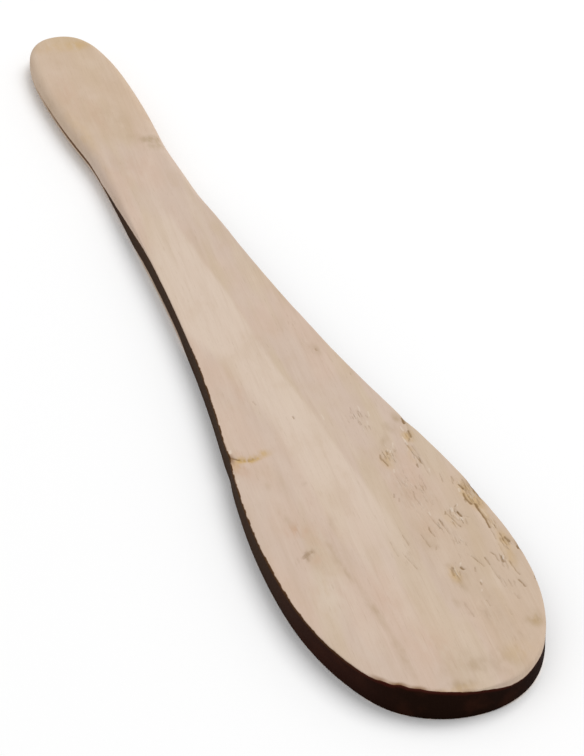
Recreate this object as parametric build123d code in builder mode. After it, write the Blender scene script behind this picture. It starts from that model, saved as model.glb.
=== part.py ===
from build123d import *
import os

# Wooden wax spatula, cut in one piece from a flat board. All sizes are in millimetres.
# It lies flat, with the handle's end towards -X and the blade's end towards +X.
# The origin is on the underside, at the middle of the length.

length = 240.0
thickness = 4.8

# The plan outline is the same on both sides and is level at three places:
# the widest part of the handle, the waist and the widest part of the blade.
handle_width = 18.5
handle_widest_at = 27.0  # from the handle's end
waist_width = 16.0
waist_at = 62.0  # from the handle's end
blade_width = 38.0
blade_widest_at = 34.5  # from the blade's end

# How far each curve holds its direction before it turns, as a share of its own run
handle_end_fullness = 0.70
blade_end_fullness = 0.63
handle_hold = 0.60
waist_hold_back = 0.25
waist_hold_forward = 0.68
blade_hold = 0.25

# The handle's edges are sanded round for the grip, and the blade keeps its square cut edge.
# Between them the round runs out, from the waist forwards, until only its last trace is left.
handle_round = 2.1
last_round = 0.15
run_out = 38.0
run_out_steps = 4

handle_end = -length / 2
blade_end = length / 2
handle_peak = Vector(handle_end + handle_widest_at, handle_width / 2)
waist = Vector(handle_end + waist_at, waist_width / 2)
blade_peak = Vector(blade_end - blade_widest_at, blade_width / 2)

# A round can't take more than its share of the board's thickness
deepest_round = 0.45 * thickness
grip_round = min(handle_round, deepest_round)


def held(start, end, share):
    """A control point level with start, a share of the way along to end."""
    return Vector(start.X + share * (end.X - start.X), start.Y)


# One side of the outline, from the handle's end to the blade's end, and its mirror image
with BuildSketch() as plan:
    with BuildLine() as side:
        Bezier(
            (handle_end, 0),
            (handle_end, handle_end_fullness * handle_peak.Y),
            held(handle_peak, Vector(handle_end, 0), handle_end_fullness),
            handle_peak,
        )
        Bezier(
            handle_peak,
            held(handle_peak, waist, handle_hold),
            held(waist, handle_peak, waist_hold_back),
            waist,
        )
        flank = Bezier(
            waist,
            held(waist, blade_peak, waist_hold_forward),
            held(blade_peak, waist, blade_hold),
            blade_peak,
        )
        Bezier(
            blade_peak,
            held(blade_peak, Vector(blade_end, 0), blade_end_fullness),
            (blade_end, blade_end_fullness * blade_peak.Y),
            (blade_end, 0),
        )
        mirror(about=Plane.XZ)
    make_face()

# Where the round has run out, and how far along the flank that is
run_out_end = waist.X + run_out
across = Axis((run_out_end, 0), (0, 1))
run_out_share = flank.param_at_point(flank.intersect(across)[0].center())

# Handle, back to the waist, with its top and bottom edges rounded
with BuildPart() as handle:
    add(plan.sketch)
    extrude(amount=thickness)
    split(bisect_by=Plane.YZ.offset(waist.X), keep=Keep.BOTTOM)
    top_edges = handle.edges().group_by(Axis.Z)[-1].sort_by(Axis.X)[:-1]
    bottom_edges = handle.edges().group_by(Axis.Z)[0].sort_by(Axis.X)[:-1]
    fillet(top_edges + bottom_edges, radius=grip_round)

# Blade, forward from the end of the run-out, square at its cut edge
with BuildPart() as blade:
    add(plan.sketch)
    extrude(amount=thickness)
    split(bisect_by=Plane.YZ.offset(run_out_end), keep=Keep.TOP)

# Neck between them: rounded sections that follow the flank while the round fades
with BuildPart() as neck:
    for step in range(run_out_steps + 1):
        share = step / run_out_steps
        on_flank = flank @ (share * run_out_share)
        fade = share * share * (3 - 2 * share)
        corner = grip_round + fade * (last_round - grip_round)
        with BuildSketch(Plane.YZ.offset(on_flank.X)):
            with Locations((0, thickness / 2)):
                RectangleRounded(2 * on_flank.Y, thickness, corner)
    loft()

with BuildPart() as spatula:
    add(handle.part)
    add(neck.part)
    add(blade.part)

spatula.part.label = "spatula"
os.makedirs("parts", exist_ok=True)
export_step(spatula.part, "parts/spatula.step")
print("spatula volume", round(spatula.part.volume), "mm3")
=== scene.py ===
import math

import bmesh
import bpy
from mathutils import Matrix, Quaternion, Vector, noise
from mathutils.geometry import interpolate_bezier


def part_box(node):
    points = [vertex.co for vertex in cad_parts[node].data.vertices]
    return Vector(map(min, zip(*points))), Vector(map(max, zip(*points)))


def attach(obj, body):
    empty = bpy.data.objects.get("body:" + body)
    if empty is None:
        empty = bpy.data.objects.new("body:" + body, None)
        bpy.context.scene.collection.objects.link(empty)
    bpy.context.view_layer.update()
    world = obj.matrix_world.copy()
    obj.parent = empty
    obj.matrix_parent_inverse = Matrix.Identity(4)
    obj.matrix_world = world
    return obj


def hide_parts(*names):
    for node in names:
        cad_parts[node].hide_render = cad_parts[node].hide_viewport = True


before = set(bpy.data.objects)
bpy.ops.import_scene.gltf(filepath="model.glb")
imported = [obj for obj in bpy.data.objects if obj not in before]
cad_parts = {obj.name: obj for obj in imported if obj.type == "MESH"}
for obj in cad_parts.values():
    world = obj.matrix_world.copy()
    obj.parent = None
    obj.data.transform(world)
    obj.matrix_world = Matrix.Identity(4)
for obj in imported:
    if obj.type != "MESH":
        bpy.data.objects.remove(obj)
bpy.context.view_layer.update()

# The spatula's form. One piece of pale birch board, cut along a flowing outline with a laser.
# The handle is sanded round for the grip, and the round runs out into the blade's square edge.
# A ring on the outline is extruded step by step over the underside, the edge and the face.
MM = 0.001
low, high = (Vector(corner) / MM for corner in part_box("spatula"))
THICKNESS = high.z - low.z
HANDLE_END = low.x
BLADE_END = high.x
LENGTH = BLADE_END - HANDLE_END
HANDLE_WIDTH = 18.5
HANDLE_WIDEST_AT = 27.0
WAIST_WIDTH = 16.0
WAIST_AT = 62.0
BLADE_WIDEST_AT = 34.5
HANDLE_PEAK = Vector((HANDLE_END + HANDLE_WIDEST_AT, HANDLE_WIDTH / 2, 0))
WAIST = Vector((HANDLE_END + WAIST_AT, WAIST_WIDTH / 2, 0))
BLADE_PEAK = Vector((BLADE_END - BLADE_WIDEST_AT, high.y, 0))

# How far each curve of the outline holds its direction before it turns, as a share of its run
HANDLE_FULLNESS = 0.70
HANDLE_HOLD = 0.60
WAIST_HOLD_BACK = 0.25
WAIST_HOLD_FORWARD = 0.68
BLADE_HOLD = 0.25
BLADE_FULLNESS = 0.63

HANDLE_ROUND = 2.1
ARRIS = 0.2
RUN_OUT = 38.0
CURVE_STEPS = 400
STATIONS = 1000


def ease(start, end, value):
    """0 at start, 1 at end, and smooth between."""
    share = min(max((value - start) / (end - start), 0.0), 1.0)
    return share * share * (3 - 2 * share)


def held(start, end, share):
    """A curve's handle level with start, a share of the way along to end."""
    return Vector((start.x + share * (end.x - start.x), start.y, 0))


def side_points(count):
    """Evenly spaced points from the handle's end along the +Y side to the blade's end."""
    first = Vector((HANDLE_END, 0, 0))
    last = Vector((BLADE_END, 0, 0))
    handle_corner = Vector((HANDLE_END, HANDLE_FULLNESS * HANDLE_PEAK.y, 0))
    blade_corner = Vector((BLADE_END, BLADE_FULLNESS * BLADE_PEAK.y, 0))
    waist_back = held(WAIST, HANDLE_PEAK, WAIST_HOLD_BACK)
    waist_forward = held(WAIST, BLADE_PEAK, WAIST_HOLD_FORWARD)
    stretches = (
        (first, handle_corner, held(HANDLE_PEAK, first, HANDLE_FULLNESS), HANDLE_PEAK),
        (HANDLE_PEAK, held(HANDLE_PEAK, WAIST, HANDLE_HOLD), waist_back, WAIST),
        (WAIST, waist_forward, held(BLADE_PEAK, WAIST, BLADE_HOLD), BLADE_PEAK),
        (BLADE_PEAK, held(BLADE_PEAK, last, BLADE_FULLNESS), blade_corner, last),
    )
    fine = [first]
    for stretch in stretches:
        fine += interpolate_bezier(*stretch, CURVE_STEPS)[1:]
    reach = [0.0]
    for a, b in zip(fine, fine[1:]):
        reach.append(reach[-1] + (b - a).length)
    even = []
    k = 0
    for i in range(count + 1):
        goal = reach[-1] * i / count
        while k < len(reach) - 2 and reach[k + 1] < goal:
            k += 1
        even.append(fine[k].lerp(fine[k + 1], (goal - reach[k]) / (reach[k + 1] - reach[k])))
    return even


side = side_points(STATIONS // 2)
outline = side + [Vector((p.x, -p.y, 0)) for p in side[-2:0:-1]]

# Where the edge leaves the drawn line: place, reach and amount outwards, in mm
DRIFTS = (
    (114.0, -12.0, 6.0, 0.40),
    (120.0, 1.0, 5.0, -0.08),
    (78.0, 18.7, 4.5, -0.18),
    (51.0, 15.0, 2.5, -0.16),
    (51.0, -15.0, 3.0, -0.20),
    (15.0, 10.2, 7.0, 0.12),
    (-20.0, 8.0, 14.0, -0.20),
    (-38.0, 8.1, 9.0, -0.40),
    (-58.0, -8.0, 20.0, -0.15),
)
# Splinters gone from the upper arris: place, reach and depth inwards, in mm
NICKS = (
    (113.2, -12.8, 1.0, 0.06),
    (115.3, -11.0, 0.8, 0.16),
    (116.4, -9.8, 1.8, 0.08),
    (117.4, -8.6, 0.6, 0.08),
    (72.6, 18.4, 1.4, 0.16),
    (75.3, 18.6, 1.4, 0.12),
    (50.8, 14.9, 1.0, 0.14),
    (90.3, 18.9, 0.8, 0.06),
    (51.2, -15.0, 1.0, 0.06),
)
# A lost splinter reaches down the edge by this much, and its own char goes past it by this factor
NICK_DROP = 1.3
NICK_CHAR = 1.4
# Where the char stops short of the upper arris, or creeps on to the face: place, reach and mm
CHAR_LIMITS = (
    (118.8, 6.0, 4.8, 0.75),
    (112.5, 13.2, 6.0, 0.80),
    (117.4, -7.6, 5.4, -0.56),
)
# The char also covers a little of the lower round, was sanded off along the neck, above and below,
# and creeps on to the face along the left of the blade, weaker towards its end. All are in mm.
CHARRED_ARRIS = 0.3
SANDED_OFF = 0.65
SANDED_OFF_BELOW = 0.85
CREEP = 0.24
CREEP_FADE = 0.6
# The upper round is smaller at the handle's tip, and larger where the blade's arris is worn
TIP_ROUND_LOSS = 0.55
WORN_ABOVE = 0.50
WORN_BELOW = 0.30
RAGGED = 0.07
RAGGED_PITCH = 0.35
# Where each of these sets in, from nothing to full, along X or across Y
TIP_ALONG = (-106, -117)
WORN_ALONG = (97, 110)
WORN_ACROSS = (0, 8)
SANDED_FROM = (-62, -52)
SANDED_TO = (-14, -32)
SANDED_BELOW_FROM = (-34, -22)
SANDED_BELOW_TO = (14, 4)
CREEP_ALONG = (10, 20)
CREEP_FADE_ALONG = (85, 110)
CREEP_ACROSS = (2, -4)
# The face's rings shrink to a middle line that is shorter than the spatula at both ends
MIDDLE_START = 7.5
MIDDLE_SHORTER = 22.0


def bumps(rows, point):
    """The sum of the rows' amounts at a point of the outline."""
    total = 0.0
    for x, y, reach, amount in rows:
        away = math.hypot(point.x - x, point.y - y) / reach
        total += amount * math.exp(-away * away)
    return total


class Station:
    """One place round the outline: which way is in, how far in the middle is, how round the edge is."""

    def __init__(self, i):
        self.point = outline[i]
        x, y = self.point.x, self.point.y
        along = (outline[(i + 1) % STATIONS] - outline[i - 1]).normalized()
        self.inward = Vector((along.y, -along.x, 0))
        share = (x - HANDLE_END) / LENGTH
        self.middle = Vector((HANDLE_END + MIDDLE_START + share * (LENGTH - MIDDLE_SHORTER), 0, 0))
        self.drift = bumps(DRIFTS, self.point)
        self.nick = bumps(NICKS, self.point)
        fade = ease(WAIST.x, WAIST.x + RUN_OUT, x)
        plain_round = HANDLE_ROUND + fade * (ARRIS - HANDLE_ROUND)
        ragged = RAGGED * noise.noise(self.point * RAGGED_PITCH) * fade
        worn = ease(*WORN_ALONG, x) * ease(*WORN_ACROSS, y)
        self.upper_round = plain_round + ragged + WORN_ABOVE * worn - TIP_ROUND_LOSS * ease(*TIP_ALONG, x)
        self.lower_round = plain_round + WORN_BELOW * worn
        sanded = ease(*SANDED_FROM, x) * ease(*SANDED_TO, x)
        creep = ease(*CREEP_ALONG, x) * (1 - CREEP_FADE * ease(*CREEP_FADE_ALONG, x))
        self.limit = bumps(CHAR_LIMITS, self.point) + SANDED_OFF * sanded
        self.limit -= CREEP * creep * ease(*CREEP_ACROSS, y)
        sanded_below = ease(*SANDED_BELOW_FROM, x) * ease(*SANDED_BELOW_TO, x)
        self.lower_limit = SANDED_OFF_BELOW * sanded_below


stations = [Station(i) for i in range(STATIONS)]

# The rings over each zone of the skin, in the order in which they are extruded
UNDER_RINGS = 4
ROUND_RINGS = 6
WALL_RINGS = 4
FACE_RINGS = 40
BEND_SHARE = 0.5
MERGE_GAP = 0.002
steps = [("under", 1 - k / UNDER_RINGS) for k in range(UNDER_RINGS)]
steps += [("lower_round", k / ROUND_RINGS) for k in range(ROUND_RINGS)]
steps += [("wall", k / WALL_RINGS) for k in range(WALL_RINGS)]
steps += [("upper_round", k / ROUND_RINGS) for k in range(ROUND_RINGS)]
steps += [("face", k / FACE_RINGS) for k in range(FACE_RINGS + 1)]


def skin(station, zone, share):
    """A point of the skin, and how far in mm it is from the bare cut edge, below 0 where it is on it."""
    turn = share * math.pi / 2
    lower, upper = station.lower_round, station.upper_round
    inset = 0.0
    stay = 1.0
    if zone in ("under", "face"):
        inset = lower if zone == "under" else upper
        height = 0.0 if zone == "under" else THICKNESS
        stay = 1 - share
    elif zone == "lower_round":
        inset = lower * (1 - math.sin(turn))
        height = lower * (1 - math.cos(turn))
    elif zone == "upper_round":
        inset = upper * (1 - math.cos(turn))
        height = THICKNESS - upper * (1 - math.sin(turn))
    else:
        height = lower + share * (THICKNESS - lower - upper)
    inset -= station.drift
    inset += station.nick * ease(THICKNESS - NICK_DROP, THICKNESS, height)
    place = station.point + station.inward * inset
    under_arris = height - max(lower - CHARRED_ARRIS, 0.0) - station.lower_limit
    rim = -min(THICKNESS - upper - height, under_arris)
    if zone in ("under", "face"):
        start = place
        bend = start + station.inward * (BEND_SHARE * (station.middle - start).length)
        place = start * stay ** 2 + bend * (2 * share * stay) + station.middle * share ** 2
        rim = max(rim, 0.0) + (place - start).length
    if height > THICKNESS / 2:
        rim += station.limit - NICK_CHAR * station.nick
    return Vector((place.x, place.y, height)), rim


form = bmesh.new()
station_of = form.verts.layers.int.new("station")
rim_of = form.verts.layers.float.new("rim")
ring = bmesh.ops.create_circle(form, cap_ends=False, segments=STATIONS, radius=1)["verts"]
for i, vert in enumerate(ring):
    vert[station_of] = i
ring_edges = list(form.edges)
for number, (zone, share) in enumerate(steps):
    if number:
        grown = bmesh.ops.extrude_edge_only(form, edges=ring_edges)["geom"]
        ring = [part for part in grown if isinstance(part, bmesh.types.BMVert)]
        new = set(ring)
        edges = [part for part in grown if isinstance(part, bmesh.types.BMEdge)]
        ring_edges = [edge for edge in edges if new.issuperset(edge.verts)]
    for vert in ring:
        vert.co, vert[rim_of] = skin(stations[vert[station_of]], zone, share)
bmesh.ops.remove_doubles(form, verts=form.verts, dist=MERGE_GAP)

# The marks on the face. Fibres are torn out along the right of the blade, with a long crack beside
# its widest part, and a brown streak runs in from the left edge. They are listed, in mm, as strokes
# and patches, which cut into the mesh and give the wood's material its amounts.

# A stroke is a run of places, its half width and its strength
STROKES = {
    # These strokes darken the wood partly as dark streaks in it and partly as painted shade inside the
    # cracks and tears, on top of what they cut
    "crack_and_painted_shade": (
        (((50.2, 15.1), (51.8, 15.0)), 0.06, 0.95), (((51.6, 15.3), (54.0, 14.9)), 0.02, 0.25),
        (((54.0, 14.8), (55.9, 14.6)), 0.05, 0.8), (((56.0, 14.2), (57.2, 13.6)), 0.01, 0.4),
        (((57.2, 13.0), (60.0, 13.1), (62.6, 13.3)), 0.01, 0.55),
        (((62.5, 13.3), (63.9, 13.4)), 0.03, 0.45), (((63.9, 13.4), (67.5, 13.2)), 0.0, 0.4),
        (((58.5, 13.7), (61.7, 13.7)), 0.0, 0.45), (((63.6, 12.5), (64.6, 12.3)), 0.05, 0.4),
        (((58.2, 9.3), (59.3, 9.1)), 0.06, 0.6), (((59.4, 9.4), (60.4, 9.0)), 0.02, 0.4),
        (((59.0, 7.9), (60.0, 7.7), (62.4, 7.9)), 0.04, 0.7), (((57.6, 9.0), (59.0, 8.2)), 0.0, 0.3),
        (((65.0, 8.0), (69.0, 8.4)), 0.0, 0.35), (((67.5, 14.8), (70.0, 14.5)), 0.0, 0.4),
        (((69.0, 16.3), (70.2, 16.2)), 0.0, 0.5), (((69.3, 16.2), (71.0, 15.8)), 0.01, 0.4),
        (((71.4, 16.7), (72.7, 16.8)), 0.08, 0.85), (((71.8, 17.3), (73.9, 17.1)), 0.01, 0.5),
        (((70.3, 17.7), (73.0, 17.8), (76.4, 18.1)), 0.0, 0.5),
        (((72.2, 18.3), (73.0, 18.3)), 0.03, 0.5), (((73.5, 18.2), (76.2, 18.3)), 0.04, 0.55),
        (((73.9, 16.4), (75.4, 16.1), (77.1, 16.4)), 0.06, 0.85), (((75.0, 16.8), (76.8, 16.7)), 0.01, 0.6),
        (((77.2, 17.0), (78.1, 16.9)), 0.11, 1.0), (((75.5, 15.8), (76.4, 15.8)), 0.02, 0.5),
        (((78.1, 16.8), (81.5, 16.9), (84.0, 16.6)), 0.04, 0.95),
        (((84.0, 16.6), (87.2, 16.3)), 0.0, 0.45), (((81.5, 17.2), (84.0, 17.5), (86.5, 17.4)), 0.0, 0.4),
        (((76.5, 14.0), (76.9, 13.6)), 0.04, 0.55), (((77.2, 13.4), (78.1, 13.2)), 0.01, 0.5),
        (((78.3, 13.5), (79.6, 13.6)), 0.07, 0.85), (((79.7, 14.1), (80.3, 14.6)), 0.0, 0.4),
        (((77.6, 11.7), (78.2, 11.5)), 0.05, 0.7), (((78.3, 11.8), (80.3, 12.1), (82.2, 12.4)), 0.01, 0.6),
        (((79.0, 12.5), (80.6, 12.7)), 0.0, 0.4), (((79.3, 9.9), (81.1, 10.0)), 0.04, 0.5),
        (((81.1, 10.0), (83.5, 10.1)), 0.0, 0.4), (((77.0, 8.9), (79.0, 9.0), (81.5, 9.3)), 0.0, 0.4),
        (((80.6, 7.8), (81.2, 7.5), (83.2, 7.7)), 0.03, 0.45), (((74.0, 7.4), (79.5, 7.8)), 0.0, 0.3),
        (((70.2, 5.9), (71.1, 5.6)), 0.04, 0.5), (((71.6, 6.2), (72.4, 5.9)), 0.02, 0.45),
        (((82.0, 5.8), (85.5, 5.9)), 0.0, 0.45), (((85.7, 6.9), (86.5, 6.5)), 0.02, 0.4),
        (((81.0, 3.1), (84.0, 3.0)), 0.0, 0.4), (((82.0, 0.6), (86.0, 0.4)), 0.0, 0.35),
        (((86.2, 1.5), (90.0, 1.9)), 0.0, 0.4), (((74.0, 11.0), (75.2, 10.6)), 0.0, 0.35),
        (((87.0, 17.8), (88.3, 18.0)), 0.08, 0.75), (((87.3, 17.4), (89.2, 17.3)), 0.05, 0.6),
        (((90.0, 18.6), (90.6, 18.6)), 0.06, 0.9), (((98.0, 18.0), (98.7, 17.9)), 0.04, 0.6),
        (((88.5, 16.1), (92.4, 15.8)), 0.01, 0.4), (((91.5, 15.3), (92.3, 15.1), (93.1, 15.0)), 0.04, 0.62),
        (((90.1, 14.1), (91.0, 14.5), (92.6, 14.5)), 0.02, 0.6),
        (((93.0, 15.9), (96.3, 15.9), (96.9, 16.0)), 0.01, 0.5), (((98.0, 15.4), (99.9, 15.6)), 0.04, 0.68),
        (((91.0, 12.8), (93.0, 12.75)), 0.02, 0.65), (((93.0, 12.7), (99.0, 12.7)), 0.0, 0.4),
        (((89.9, 11.0), (91.0, 11.3), (93.0, 11.8)), 0.01, 0.55), (((92.8, 10.3), (93.8, 10.1)), 0.01, 0.5),
        (((91.6, 7.1), (93.4, 6.6)), 0.14, 0.55), (((93.4, 6.6), (96.6, 6.6)), 0.05, 0.3),
        (((92.0, 8.4), (92.6, 8.6)), 0.09, 0.88), (((96.5, 9.7), (97.2, 9.6)), 0.01, 0.6),
        (((101.5, 13.6), (102.3, 13.5)), 0.04, 0.4), (((101.0, 8.8), (102.5, 8.8)), 0.04, 0.4),
        (((100.5, 5.4), (104.0, 5.5)), 0.01, 0.35), (((103.0, 11.0), (105.5, 10.9)), 0.0, 0.3),
        (((107.0, 14.3), (108.2, 14.0)), 0.05, 0.3),
        (((51.2, -15.3), (51.6, -14.8), (52.1, -14.1)), 0.05, 0.9),
        (((52.2, -13.8), (52.7, -12.8), (52.5, -11.6)), 0.36, 0.34),
        (((80.2, -11.7), (80.6, -12.6), (81.3, -13.4)), 0.26, 0.36),
        (((24.2, 9.2), (24.8, 9.2)), 0.06, 0.5),
        (((33.8, 12.1), (34.5, 12.0)), 0.04, 0.3), (((43.2, -1.7), (43.8, -1.7)), 0.02, 0.6),
        (((36.4, -6.5), (37.6, -6.3)), 0.01, 0.45), (((44.0, 8.2), (47.5, 8.0)), 0.0, 0.35),
        (((46.0, 6.6), (48.4, 6.5)), 0.0, 0.3), (((26.0, 10.4), (29.5, 10.4)), 0.0, 0.25),
    ),
    # Lifted fibres are paler wood, and are painted lighter partly as a painted highlight on their ridges
    "fibre_and_painted_highlight": (
        (((52.5, 14.0), (53.8, 14.0)), 0.01, 0.7), (((55.5, 13.2), (57.8, 13.1)), 0.02, 0.8),
        (((56.5, 11.0), (58.0, 10.6)), 0.0, 0.7), (((58.4, 9.9), (59.0, 9.6)), 0.01, 0.8),
        (((58.0, 9.6), (58.4, 9.4)), 0.01, 0.8), (((63.8, 8.4), (64.6, 8.2)), 0.01, 0.8),
        (((65.6, 13.9), (66.6, 13.6)), 0.0, 0.6), (((44.0, 9.6), (45.6, 9.4)), 0.0, 0.7),
        (((46.2, 10.6), (47.6, 10.4)), 0.0, 0.7), (((48.8, 9.4), (50.0, 9.2)), 0.0, 0.6),
        (((44.4, 3.0), (45.8, 2.9)), 0.0, 0.7), (((72.5, 16.1), (73.3, 16.0)), 0.01, 0.8),
        (((73.8, 17.6), (75.4, 17.5)), 0.0, 0.6), (((76.3, 14.3), (76.8, 14.1)), 0.01, 0.7),
        (((77.1, 12.95), (77.9, 12.8)), 0.04, 1.0), (((79.8, 13.4), (80.6, 13.4)), 0.02, 0.9),
        (((78.8, 12.8), (80.2, 12.9)), 0.0, 0.7), (((76.9, 9.2), (77.7, 9.1)), 0.01, 0.7),
        (((79.0, 17.3), (81.0, 17.4)), 0.0, 0.6), (((91.5, 15.6), (92.2, 15.3)), 0.02, 0.8),
        (((91.0, 8.8), (91.5, 8.4)), 0.02, 0.7), (((96.0, 10.0), (96.6, 9.9)), 0.01, 0.7),
        (((98.2, 9.2), (98.7, 9.0)), 0.0, 0.6), (((49.2, -14.7), (49.9, -14.9)), 0.06, 0.8),
        (((57.6, -16.1), (58.3, -16.3)), 0.01, 0.6), (((81.6, -7.6), (82.2, -7.4)), 0.01, 0.5),
    ),
}
# A patch is a place, its half length and half width, its turn in degrees and its strength
PATCHES = {
    "gold": (
        (55.3, 14.2, 2.6, 1.20, -8, 0.85), (75.2, 17.2, 5.6, 1.40, 3, 0.85),
        (81.0, 17.3, 4.5, 0.80, 0, 0.6), (87.9, 17.6, 3.2, 1.30, -4, 0.7),
        (91.5, 16.4, 4.5, 1.10, -6, 0.55), (52.5, -12.6, 1.3, 2.50, 0, 2.3),
        (51.9, -10.4, 1.3, 2.20, 0, 0.9), (93.4, 6.8, 2.6, 1.10, -6, 0.7),
        (60.5, 12.9, 3.6, 0.90, -8, 0.5), (60.6, 8.6, 3.2, 1.50, -16, 0.5),
        (80.0, 12.0, 3.0, 1.40, 6, 0.35), (107.8, 13.9, 1.8, 1.20, -20, 0.3),
        (114.0, 8.2, 3.2, 2.60, -40, 0.3), (118.9, -4.0, 1.2, 4.40, 0, 0.35),
        (-112.6, 3.3, 3.4, 3.40, 0, 0.7), (-113.4, -1.6, 3.4, 5.00, 0, 0.3),
        (53.6, -15.2, 2.4, 0.90, 6, 0.5), (-70.0, -7.4, 13.0, 2.60, 1, 0.3),
        (-55.0, -7.2, 8.0, 1.80, 2, 0.2),
    ),
    "olive": (
        (24.5, 9.2, 2.4, 1.20, 0, 0.6), (52.0, 12.3, 2.0, 1.30, 0, 0.7), (49.6, 14.3, 1.8, 1.00, 0, 1.1),
        (95.8, 6.8, 3.0, 1.10, -2, 0.7), (94.0, 8.4, 2.6, 1.20, 0, 0.5),
        (84.3, 6.5, 2.6, 1.20, -4, 0.7), (100.0, 4.3, 1.8, 0.70, 0, 0.6),
        (81.0, -8.5, 4.0, 0.55, -3, 0.6), (86.5, -8.5, 5.0, 0.60, 4, 0.9),
        (97.0, -7.8, 8.0, 0.80, 2, 0.8), (109.0, -7.8, 7.0, 0.90, -2, 0.7),
        (70.0, -12.2, 5.0, 0.80, 0, 0.6), (114.6, 1.5, 2.6, 2.20, -10, 1.1),
        (114.0, 0.0, 5.5, 5.00, -10, 0.35),
        (118.0, -2.4, 1.8, 2.60, 0, 1.1), (61.0, -12.2, 1.5, 0.60, -8, 0.5),
        (-63.4, 6.0, 2.2, 3.60, -24, 1.7), (-66.4, 2.2, 1.8, 3.60, -30, 0.3),
        (-60.6, 5.8, 2.4, 2.60, 0, 1.1), (-75.0, 1.5, 9.0, 3.50, 0, 0.3),
        (55.6, 9.8, 2.6, 0.80, -30, 0.6), (98.0, 9.0, 9.0, 3.00, -6, 0.3),
        (115.0, 5.6, 3.6, 3.60, -20, 0.7), (92.0, 17.2, 3.0, 0.90, -6, 0.4),
        (70.0, 7.4, 5.0, 0.90, -3, 0.4), (110.6, 10.6, 1.8, 1.40, -30, 0.6),
        (116.0, 9.2, 1.6, 1.20, -50, 0.4), (116.1, 6.6, 1.6, 1.20, 0, 0.4),
        (118.6, -5.6, 0.8, 0.80, 0, 0.6), (107.6, 13.8, 2.4, 1.60, -20, 1.4),
    ),
    "pink": (
        (54.6, -15.0, 3.6, 1.30, 8, 1.2), (50.6, -13.6, 1.2, 1.60, 0, 0.4),
        (74.2, -11.8, 2.6, 2.20, 0, 1.3), (81.8, -11.6, 2.4, 1.60, 0, 0.8),
        (76.5, -9.8, 8.0, 4.20, -6, 0.35),
        (33.0, -7.7, 3.6, 1.00, -8, 0.4), (94.0, -5.0, 9.0, 2.40, -3, 0.35),
        (68.0, 9.0, 12.0, 4.50, -6, 0.4), (-52.0, -1.5, 9.0, 4.50, -6, 0.35),
        (108.0, -2.5, 7.0, 4.00, 0, 0.4), (80.0, 8.0, 6.0, 3.00, -6, 0.3),
        (-78.0, -2.0, 10.0, 2.00, -4, 0.4), (-92.0, -5.0, 14.0, 2.80, -2, 0.5),
    ),
    "grey": (
        (80.5, -12.2, 1.4, 1.00, -60, 1.8), (81.5, -13.2, 1.3, 1.10, -30, 1.8),
        (62.5, -6.5, 0.9, 0.70, -40, 0.5), (91.0, 6.6, 0.9, 0.60, 0, 0.5),
        (105.0, 7.6, 6.0, 0.80, 0, 0.4), (102.0, 5.4, 2.6, 0.50, 0, 0.5),
        (105.5, 9.4, 5.0, 1.00, 0, 0.3), (83.4, 10.7, 1.2, 0.60, 0, 0.4),
        (115.8, 2.6, 3.0, 1.40, -10, 0.4), (74.0, -6.0, 3.0, 0.80, -6, 0.3),
    ),
    "pale": (
        (91.5, -12.6, 10.0, 3.60, -10, 0.9), (-99.0, -5.2, 12.0, 2.60, -3, 0.4),
        (60.0, -11.5, 6.0, 2.00, -8, 0.3), (36.0, -11.2, 8.0, 1.80, -8, 0.3),
        (104.0, -11.0, 6.0, 2.60, -14, 0.5),
    ),
    "singe": (
        (112.6, -12.8, 1.8, 1.60, 36, 0.7), (115.0, -11.0, 2.2, 1.80, 42, 1.0),
        (117.2, -8.8, 2.0, 1.80, 52, 1.0), (118.6, -6.2, 1.6, 1.20, 62, 0.5),
        (119.8, -2.0, 1.6, 1.20, 75, 0.4), (119.6, 4.6, 2.6, 1.00, 106, 0.4),
        (51.4, -15.5, 2.0, 1.20, 8, 0.8),
        (72.0, 18.4, 3.0, 0.40, 2, 0.5), (90.0, 18.8, 2.0, 0.35, -4, 0.5),
    ),
    "torn": (
        (55.5, 14.2, 3.0, 1.10, -8, 0.5), (59.5, 9.0, 4.2, 1.80, -14, 0.8),
        (61.8, 12.9, 3.8, 1.20, -6, 0.7), (74.5, 17.2, 5.0, 1.20, 2, 1.0),
        (83.0, 17.2, 5.0, 0.90, 0, 0.6), (79.6, 12.6, 3.6, 2.00, 4, 0.7),
        (80.6, 9.0, 3.4, 2.00, -6, 0.45), (88.4, 17.5, 2.6, 1.00, -4, 0.9),
        (92.6, 15.2, 4.0, 1.30, -4, 0.45), (92.9, 7.6, 3.0, 1.60, -6, 0.6),
        (103.0, 8.5, 8.0, 3.60, -6, 0.22), (70.0, 9.5, 9.0, 3.60, -6, 0.40),
        (48.0, 8.6, 5.5, 2.60, -6, 0.50), (86.0, 2.0, 8.0, 2.60, -6, 0.2),
        (112.0, 9.0, 5.0, 3.00, -40, 0.22), (87.5, 10.5, 5.0, 1.60, -6, 0.45),
        (98.0, 13.5, 5.0, 2.00, -6, 0.35), (18.0, 8.2, 16.0, 1.60, -3, 0.25),
    ),
}
# How a stroke and a patch fade outwards, how deep each kind cuts at its full strength, how far a
# noise shakes the marks out of their places, and how near a stroke the mesh is made finer
STROKE_FADE = 0.26
PATCH_SPREAD = 1.6
CUT_DEPTH = {"crack_and_painted_shade": 0.15, "gold": 0.08, "torn": 0.02}
SHAKE = 0.22
SHAKE_PITCH = (1.1, 1.6)
SHAKE_SEED = 4
STROKE_SHAKE = 0.5
FINER_WITHIN = 0.42
STROKE_MARGIN = 1.0


def from_stroke(place, start, end):
    """The distance in mm from a place to the line between two others."""
    dx, dy = end[0] - start[0], end[1] - start[1]
    share = ((place.x - start[0]) * dx + (place.y - start[1]) * dy) / (dx * dx + dy * dy)
    share = min(max(share, 0.0), 1.0)
    return math.hypot(place.x - start[0] - share * dx, place.y - start[1] - share * dy)


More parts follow.
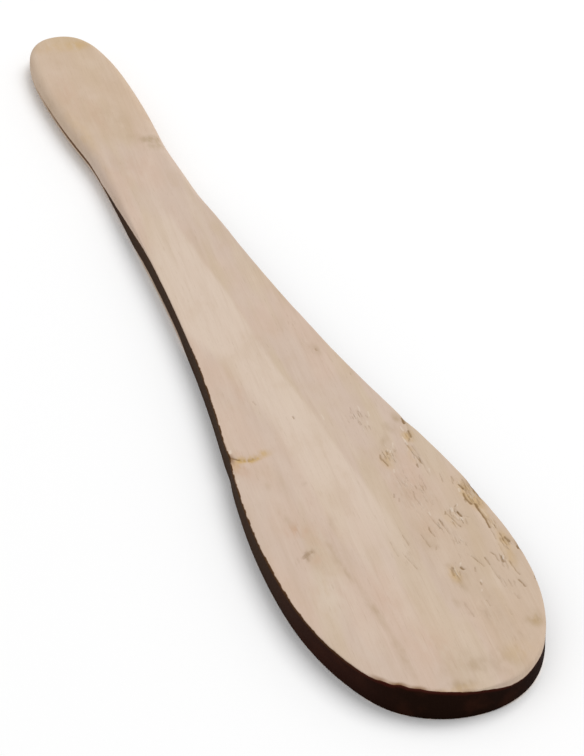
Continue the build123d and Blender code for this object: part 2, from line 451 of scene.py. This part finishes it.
noise.seed_set(SHAKE_SEED)
strokes = []
for kind, rows in STROKES.items():
    for places, half_width, strength in rows:
        for start, end in zip(places, places[1:]):
            strokes.append((kind, start, end, half_width, strength))
patches = []
for kind, rows in PATCHES.items():
    for x, y, along, across, turn, strength in rows:
        angle = math.radians(turn)
        patches.append((kind, x, y, along, across, math.cos(angle), math.sin(angle), strength))


def beside(place, start, end):
    """Whether a place lies along the blade within a stroke's run, with a margin at both ends."""
    return start[0] - STROKE_MARGIN < place.x < end[0] + STROKE_MARGIN


def near_stroke(place):
    """Whether a place on the face is close enough to a stroke to need a finer mesh."""
    for stroke in strokes:
        start, end = stroke[1:3]
        if beside(place, start, end) and from_stroke(place, start, end) < FINER_WITHIN:
            return True
    return False


def mark_amounts(place):
    """How strongly each kind of mark shows at a place on the face."""
    amounts = {}
    shake = noise.noise_vector(Vector((place.x * SHAKE_PITCH[0], place.y * SHAKE_PITCH[1], 0))) * SHAKE
    for kind, start, end, half_width, strength in strokes:
        if beside(place, start, end):
            away = from_stroke(place + shake * STROKE_SHAKE, start, end) - half_width
            amount = strength * min(1.0, 1 - away / STROKE_FADE)
            if amount > amounts.get(kind, 0.0):
                amounts[kind] = amount
    for kind, x, y, along, across, cos, sin, strength in patches:
        dx = place.x - x + shake.x
        if abs(dx) > PATCH_SPREAD * max(along, across):
            continue
        dy = place.y - y + shake.y
        u = (dx * cos + dy * sin) / along
        v = (dy * cos - dx * sin) / across
        amount = strength * max(1 - (u * u + v * v) / PATCH_SPREAD, 0.0) ** 2
        if amount > amounts.get(kind, 0.0):
            amounts[kind] = amount
    return amounts


# The face's mesh is made finer beside the strokes. The edges are handed over in the mesh's own
# order, so that each run gives the same mesh.
FACE_TOLERANCE = 0.05
FINER_CUTS = 2
close = set()
for face in form.faces:
    centre = face.calc_center_median()
    if centre.z > THICKNESS - FACE_TOLERANCE and near_stroke(centre):
        close.update(face.edges)
finer_edges = [edge for edge in form.edges if edge in close]
bmesh.ops.subdivide_edges(form, edges=finer_edges, cuts=FINER_CUTS, use_grid_fill=True)
bmesh.ops.recalc_face_normals(form, faces=form.faces)

# The light band down the middle: place along X, its lower and upper side, and its strength
BAND = (
    (-50.0, -1.5, -0.8, 0.0), (-40.0, -3.0, -0.4, 0.35), (-30.0, -5.0, -0.2, 0.6),
    (-20.0, -7.2, 0.0, 0.85), (-10.0, -9.0, 0.3, 1.0), (0.0, -11.0, 0.8, 1.0),
    (10.0, -11.0, 0.7, 1.0), (20.0, -7.6, 0.6, 1.0), (30.0, -6.2, 0.9, 1.0),
    (40.0, -5.8, 1.8, 1.0), (50.0, -5.5, 1.9, 1.0), (60.0, -5.6, 2.3, 1.0),
    (70.0, -5.8, 2.7, 0.8), (80.0, -5.7, 3.0, 0.55), (90.0, -5.5, 3.2, 0.35),
    (105.0, -5.0, 3.6, 0.22), (120.0, -5.0, 3.0, 0.1),
)
# The band's upper border is crisp, and softer where the band is weak. Both borders wave a little.
UPPER_BORDER = 0.45
WEAK_BORDER = 0.8
LOWER_BORDER = 1.3
BAND_WAVE = 0.25
BAND_WAVE_PITCH = 0.12
BAND_WAVE_ROW = 3.0


def band_share(place):
    """How far a place lies within the light band."""
    for start, end in zip(BAND, BAND[1:]):
        if start[0] <= place.x < end[0]:
            share = (place.x - start[0]) / (end[0] - start[0])
            under, over, strength = (a + (b - a) * share for a, b in zip(start[1:], end[1:]))
            soft = UPPER_BORDER + WEAK_BORDER * (1 - strength)
            wave = BAND_WAVE * noise.noise(Vector((place.x * BAND_WAVE_PITCH, BAND_WAVE_ROW, 0)))
            above = ease(over + soft, over - soft, place.y + wave)
            below = ease(under - LOWER_BORDER, under + LOWER_BORDER, place.y + wave)
            return above * below * strength
    return 0.0


# Each vertex of the face takes the amounts of the marks, and sinks by what they cut away, by the
# wave that sanding by hand leaves and by the fray of the torn fibres. Raised fibres stay up.
MARKS_START = THICKNESS - 0.6
MARKS_FULL = THICKNESS - 0.2
HAND_WAVE = 0.05
HAND_WAVE_PITCH = (0.05, 0.11)
TORN_WAVE = 0.10
TORN_PITCH = (0.6, 2.4)
TORN_ROW = 5.0
layers = {kind: form.verts.layers.float.new(kind) for kind in (*STROKES, *PATCHES)}
band_of = form.verts.layers.float.new("band")
for vert in form.verts:
    if vert.co.z < MARKS_START:
        continue
    place = vert.co.copy()
    on_top = ease(MARKS_START, MARKS_FULL, place.z)
    amounts = mark_amounts(place)
    for kind, amount in amounts.items():
        vert[layers[kind]] = amount * on_top
    vert[band_of] = band_share(place) * on_top
    cut = sum(CUT_DEPTH.get(kind, 0.0) * amount for kind, amount in amounts.items())
    hand = Vector((place.x * HAND_WAVE_PITCH[0], place.y * HAND_WAVE_PITCH[1], 0))
    wave = HAND_WAVE * (0.5 + 0.5 * noise.noise(hand))
    fray = 0.5 + 0.5 * noise.noise(Vector((place.x * TORN_PITCH[0], place.y * TORN_PITCH[1], TORN_ROW)))
    lift = 1 - amounts.get("fibre_and_painted_highlight", 0.0)
    vert.co.z -= wave + (cut + TORN_WAVE * amounts.get("torn", 0.0) * fray) * lift

spatula_mesh = bpy.data.meshes.new("spatula")
bmesh.ops.scale(form, vec=(MM, MM, MM), verts=form.verts)
form.to_mesh(spatula_mesh)
form.free()
for polygon in spatula_mesh.polygons:
    polygon.use_smooth = True
spatula = bpy.data.objects.new("wax_spatula", spatula_mesh)
bpy.context.collection.objects.link(spatula)
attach(spatula, "root")
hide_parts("spatula")


# The wood. Birch, sanded and left bare: matt, pale tan with pinker and more olive patches, a fine
# grain that runs a little aslant, and a golden end to the handle. The laser has left the square
# edge of the blade nearly black. Low down on the handle's rounded edge a brown trace is partly
# scorch and partly painted shade, where the round turns down away from the light.
def linear(code):
    """An sRGB hex colour as the linear colour that a shader takes."""
    parts = [int(code[k:k + 2], 16) / 255 for k in (1, 3, 5)]
    return [c / 12.92 if c <= 0.04045 else ((c + 0.055) / 1.055) ** 2.4 for c in parts] + [1.0]


birch = bpy.data.materials.new("bare_birch_with_laser_scorched_edge")
birch.use_nodes = True
tree = birch.node_tree
tree.nodes.clear()


def add(kind, links=(), **settings):
    """Adds a node to the tree, with its own settings and with a value or a link for each socket."""
    made = tree.nodes.new(kind)
    for name, value in settings.items():
        setattr(made, name, value)
    for socket, value in dict(links).items():
        if isinstance(value, bpy.types.NodeSocket):
            tree.links.new(value, made.inputs[socket])
        else:
            made.inputs[socket].default_value = value
    return made.outputs


object_place = add("ShaderNodeTexCoord")["Object"]
place_mm = add("ShaderNodeVectorMath", {0: object_place, "Scale": 1 / MM}, operation="SCALE")[0]
along_x, along_y, along_z = add("ShaderNodeSeparateXYZ", {0: place_mm})


def figure(sizes, turn=0.0, detail=2.0, seed=0.0):
    """Noise with patches of about the given sizes in mm, turned by some degrees in the face's plane."""
    laid = add("ShaderNodeMapping", {"Vector": place_mm, "Location": (seed, seed, 0.0),
               "Rotation": (0, 0, math.radians(turn)), "Scale": sizes}, vector_type="TEXTURE")
    return add("ShaderNodeTexNoise", {"Vector": laid[0], "Scale": 1.0, "Detail": detail})["Fac"]


def between(value, start, end, top=1.0):
    """0 where the value is at start, up to top where it is at end."""
    return add("ShaderNodeMapRange", {0: value, 1: start, 2: end, 3: 0.0, 4: top},
               interpolation_type="SMOOTHSTEP")[0]


# Pattern sizes are in mm, along the grain, across it and through the board. The grain runs a little
# aslant. Birch's fibres are about 0.03 mm wide and its vessels about 0.1 mm, too fine to show here,
# so the fine grain is drawn 0.16 mm wide and the pores 0.2 mm.
GRAIN_TURN = -5.5
pinker = between(figure((30, 9, 6), GRAIN_TURN), 0.45, 0.62)
greener = between(figure((38, 6, 6), GRAIN_TURN, seed=40), 0.50, 0.66)
clouds = figure((9, 4.5, 4), GRAIN_TURN, 4.0, seed=60)
streaks = figure((24, 1.6, 4), GRAIN_TURN, 4.0, seed=7)
lines = figure((12, 0.5, 3), GRAIN_TURN, 3.0, seed=13)
pores = between(figure((2.6, 0.20, 1), GRAIN_TURN, 1.0, seed=21), 0.66, 0.74)
fine_grain = figure((7, 0.16, 2), GRAIN_TURN, 2.0, seed=52)
fleck_noise = figure((2.4, 0.34, 1), GRAIN_TURN, 2.0, seed=3)
fibre_noise = figure((2.2, 0.40, 1), GRAIN_TURN, 2.0, seed=31)
edge_noise = figure((1.6, 1.6, 1.6), 0, 4.0, seed=9)

# The marks' amounts from the mesh. The patches are mottled by the wood's figure, the strokes are
# frayed along the grain, and flecks and raised fibres are scattered where the wood is torn.
MOTTLED = ("gold", "olive", "pink", "grey", "pale")
FRAY = 0.6
TORN_FLECKS = 0.14
TORN_FIBRES = 0.12
marked = {name: add("ShaderNodeAttribute", attribute_name=name)["Fac"]
          for name in (*STROKES, *PATCHES, "band", "rim")}
frays = add("ShaderNodeMath", {0: fleck_noise, 1: -0.5}, operation="ADD")[0]
ragged_edge = add("ShaderNodeMath", {0: edge_noise, 1: -0.5}, operation="ADD")[0]
mottle = between(figure((3.4, 1.3, 2), GRAIN_TURN, 3.0, seed=71), 0.25, 0.62, 1.35)
shown = {}
for kind in MOTTLED:
    shown[kind] = add("ShaderNodeMath", {0: marked[kind], 1: mottle}, operation="MULTIPLY")[0]
for kind in STROKES:
    frayed = add("ShaderNodeMath", {0: frays, 1: FRAY, 2: marked[kind]}, operation="MULTIPLY_ADD")[0]
    inside = between(marked[kind], 0.0, 0.35)
    frayed = between(frayed, 0.05, 0.95)
    shown[kind] = add("ShaderNodeMath", {0: frayed, 1: inside}, operation="MULTIPLY")[0]
in_torn = between(marked["torn"], 0.0, 0.5)
flecks = add("ShaderNodeMath", {0: marked["torn"], 1: TORN_FLECKS, 2: fleck_noise},
             operation="MULTIPLY_ADD")[0]
torn_out = add("ShaderNodeMath", {0: between(flecks, 0.60, 0.76), 1: in_torn}, operation="MULTIPLY")[0]
fibres = add("ShaderNodeMath", {0: marked["torn"], 1: TORN_FIBRES, 2: fibre_noise},
             operation="MULTIPLY_ADD")[0]
raised_fibres_and_painted_highlight = add("ShaderNodeMath", {0: between(fibres, 0.62, 0.76), 1: in_torn}, operation="MULTIPLY")[0]

# Where along the spatula the wood is warmer or golden, where its edge is burnt, and where the handle's
# round carries a brown trace, partly scorch and partly painted shade. The rim's distance from the cut
# edge is made ragged, and so is the place where the char ends at the waist.
RIM_RAGGED = 0.30
END_RAGGED = 26.0
handle_warmth = between(along_x, -52.0, -80.0)
golden_end = add("ShaderNodeMath", {0: between(along_x, -108.0, -118.0), 1: between(along_y, -6.0, 1.0)},
                 operation="MULTIPLY")[0]
blade_right = add("ShaderNodeMath", {0: between(along_x, 62.0, 80.0), 1: between(along_y, 2.0, 8.0)},
                  operation="MULTIPLY")[0]
rim = add("ShaderNodeMath", {0: ragged_edge, 1: RIM_RAGGED, 2: marked["rim"]}, operation="MULTIPLY_ADD")[0]
wandering_x = add("ShaderNodeMath", {0: ragged_edge, 1: END_RAGGED, 2: along_x}, operation="MULTIPLY_ADD")[0]
past_waist = between(wandering_x, -62.0, -46.0)
# The trace on the handle's round: partly scorch left after sanding, partly painted shade where the round
# turns down away from the light
scorch_and_painted_shade_trace = between(wandering_x, -120.0, -64.0, 0.5)
char_and_shade_trace_length = add("ShaderNodeMath", {0: past_waist, 1: scorch_and_painted_shade_trace}, operation="MAXIMUM")[0]
burnt_and_painted_shade = add("ShaderNodeMath", {0: between(rim, 0.02, -0.16), 1: char_and_shade_trace_length}, operation="MULTIPLY")[0]
singed = add("ShaderNodeMath", {0: between(rim, 0.90, 0.10), 1: marked["singe"]}, operation="MULTIPLY")[0]
on_upper_half = between(along_z, 2.4, 3.6)
fringe = add("ShaderNodeMath", {0: between(rim, -0.80, -0.10), 1: on_upper_half}, operation="MULTIPLY")[0]
brown_fringe = add("ShaderNodeMath", {0: fringe, 1: between(along_x, 114.0, 104.0)}, operation="MULTIPLY")[0]
red_fringe = add("ShaderNodeMath", {0: fringe, 1: between(along_x, 102.0, 112.0)}, operation="MULTIPLY")[0]

# The char, from brown at the neck to nearly black at the blade's end, with a rusty upper fringe.
# Each coat is an amount, its colour and how much of it shows at most.
CHAR_COATS = (
    (between(along_x, 60.0, 106.0), "#2a130c", 1.0),
    (between(along_x, 104.0, 118.0), "#190a04", 1.0),
    (between(clouds, 0.48, 0.70), "#3a1c10", 0.32),
    (brown_fringe, "#5c3c19", 0.50),
    (red_fringe, "#3c120b", 0.85),
)
char = linear("#3a2a1e")
for amount, code, most in CHAR_COATS:
    share = add("ShaderNodeMath", {0: amount, 1: most}, operation="MULTIPLY")[0]
    char = add("ShaderNodeMix", {0: share, 6: char, 7: linear(code)}, data_type="RGBA")[2]

# The bare wood, coat by coat from its broad patches to the marks on it
COATS = (
    (pinker, "#cfb5a2", 0.50),
    (greener, "#c8b498", 0.50),
    (handle_warmth, "#cab299", 0.70),
    (golden_end, "#c2a981", 0.45),
    (marked["band"], "#d6c3b2", 0.85),
    (blade_right, "#c8b198", 0.55),
    (shown["pale"], "#d3c2b1", 0.60),
    (shown["pink"], "#c6a48c", 0.55),
    (shown["olive"], "#b29b80", 0.58),
    (shown["grey"], "#ab947e", 0.60),
    (between(clouds, 0.50, 0.72), "#bfa68b", 0.24),
    (between(clouds, 0.50, 0.28), "#d8c5b4", 0.24),
    (between(streaks, 0.50, 0.72), "#b9a287", 0.14),
    (between(streaks, 0.50, 0.30), "#d9c9b7", 0.14),
    (between(lines, 0.52, 0.72), "#a98f73", 0.09),
    (between(fine_grain, 0.50, 0.70), "#ab9072", 0.06),
    (pores, "#9c8468", 0.14),
    (shown["gold"], "#c4a473", 0.72),
    (torn_out, "#a08363", 0.45),
    # Raised fibres: paler wood, partly a painted highlight on the torn ridges
    (raised_fibres_and_painted_highlight, "#dccdbb", 0.35),
    (singed, "#7d5935", 0.95),
    # Dark brown of the strokes: partly real dark streaks, partly painted shade inside the cracks and tears
    (shown["crack_and_painted_shade"], "#83653f", 0.85),
    # The lifted fibres' pale colour is partly a painted highlight
    (shown["fibre_and_painted_highlight"], "#dfd1c1", 0.60),
)
wood = linear("#ccb7a7")
for amount, code, most in COATS:
    share = add("ShaderNodeMath", {0: amount, 1: most}, operation="MULTIPLY")[0]
    wood = add("ShaderNodeMix", {0: share, 6: wood, 7: linear(code)}, data_type="RGBA")[2]

# Between wood and char lies a toasted line. On the handle this toasted brown, with a little char, makes
# the trace, which is partly painted shade. Sanded, unsealed wood is matt with hardly any sheen, and
# char is duller still.
WOOD_ROUGHNESS = (0.60, 0.74)
CHAR_ROUGHNESS = 0.88
SHEEN = 0.05
RELIEF_DEPTH = 0.05
RELIEF_STRENGTH = 0.9
toasted = add("ShaderNodeMix", {0: between(burnt_and_painted_shade, 0.0, 0.5), 6: wood, 7: linear("#6b4d33")},
              data_type="RGBA")[2]
colour = add("ShaderNodeMix", {0: between(burnt_and_painted_shade, 0.25, 1.0), 6: toasted, 7: char}, data_type="RGBA")[2]

wood_roughness = add("ShaderNodeMapRange", {0: streaks, 3: WOOD_ROUGHNESS[0], 4: WOOD_ROUGHNESS[1]})[0]
roughness = add("ShaderNodeMix", {0: burnt_and_painted_shade, 2: wood_roughness, 3: CHAR_ROUGHNESS})[0]
relief = add("ShaderNodeMath", {0: lines, 1: 0.6, 2: streaks}, operation="MULTIPLY_ADD")[0]
relief = add("ShaderNodeMath", {0: fine_grain, 1: 0.5, 2: relief}, operation="MULTIPLY_ADD")[0]
relief = add("ShaderNodeMath", {0: torn_out, 1: -1.4, 2: relief}, operation="MULTIPLY_ADD")[0]
relief = add("ShaderNodeMath", {0: raised_fibres_and_painted_highlight, 1: 1.0, 2: relief}, operation="MULTIPLY_ADD")[0]
raised = add("ShaderNodeBump", {"Height": relief, "Distance": RELIEF_DEPTH * MM,
             "Strength": RELIEF_STRENGTH})[0]
surface = add("ShaderNodeBsdfPrincipled", {"Base Color": colour, "Roughness": roughness,
              "Specular IOR Level": SHEEN, "Normal": raised})[0]
add("ShaderNodeOutputMaterial", {"Surface": surface})
spatula_mesh.materials.append(birch)

# The table. A wide sheet of matt white paper, laid flat and far larger than the picture shows. It
# scatters light evenly, with no sheen, and keeps the spatula's soft shadow.
FLOOR_SIZE = 6.0
floor_form = bmesh.new()
bmesh.ops.create_grid(floor_form, x_segments=1, y_segments=1, size=FLOOR_SIZE / 2)
floor_mesh = bpy.data.meshes.new("table")
floor_form.to_mesh(floor_mesh)
floor_form.free()
floor = bpy.data.objects.new("table", floor_mesh)
bpy.context.collection.objects.link(floor)
paper = bpy.data.materials.new("matt_white_paper")
paper.use_nodes = True
tree = paper.node_tree
tree.nodes.clear()
sheet = add("ShaderNodeBsdfDiffuse", {"Color": linear("#fdfdfd")})[0]
add("ShaderNodeOutputMaterial", {"Surface": sheet})
floor_mesh.materials.append(paper)

# The light. An even white room and one wide soft lamp overhead, at a level at which a colour
# shows about as it is written.
# The room looks white to the camera, and lights the spatula with a part of that
ROOM_LIGHT = 0.62
ROOM_SEEN = 1.0
room = bpy.data.worlds.new("white_room")
bpy.context.scene.world = room
room.use_nodes = True
tree = room.node_tree
tree.nodes.clear()
ray = add("ShaderNodeLightPath")
seen = add("ShaderNodeMath", {0: ray["Is Camera Ray"], 1: ray["Is Glossy Ray"]}, operation="MAXIMUM")[0]
seen = add("ShaderNodeMath", {0: seen, 1: ray["Is Transmission Ray"]}, operation="MAXIMUM")[0]
strength = add("ShaderNodeMapRange", {0: seen, 3: ROOM_LIGHT, 4: ROOM_SEEN})[0]
air = add("ShaderNodeBackground", {"Color": (1, 1, 1, 1), "Strength": strength})[0]
add("ShaderNodeOutputWorld", {"Surface": air})

LAMP_PLACE = Vector((-0.75, 1.65, 3.3))
LAMP_SIZE = 2.7
LAMP_WATTS = 75.6
lamp_data = bpy.data.lights.new("soft_lamp", "AREA")
lamp_data.size = LAMP_SIZE
lamp_data.energy = LAMP_WATTS
lamp = bpy.data.objects.new("soft_lamp", lamp_data)
lamp.location = LAMP_PLACE
lamp.rotation_euler = (-LAMP_PLACE).to_track_quat("-Z", "Y").to_euler()
bpy.context.collection.objects.link(lamp)

# The camera. It stands beyond the blade's end, a little to its left and about 23 cm above the
# table, and looks down the spatula's length through a long lens.
EYE = Vector((374.7, -113.5, 234.1)) * MM
AIM = Vector((24.62, 4.62, 0.0)) * MM
ROLL = math.radians(-1.37)
LENS = 119.05
SENSOR = 36.0
NEAR_LIMIT = 0.01
camera_data = bpy.data.cameras.new("camera")
camera_data.lens = LENS
camera_data.sensor_width = SENSOR
camera_data.clip_start = NEAR_LIMIT
camera = bpy.data.objects.new("camera", camera_data)
camera.location = EYE
level = (AIM - EYE).to_track_quat("-Z", "Y")
camera.rotation_euler = (level @ Quaternion((0, 0, 1), ROLL)).to_euler()
bpy.context.collection.objects.link(camera)
bpy.context.scene.camera = camera
bpy.context.scene.view_settings.view_transform = "Standard"
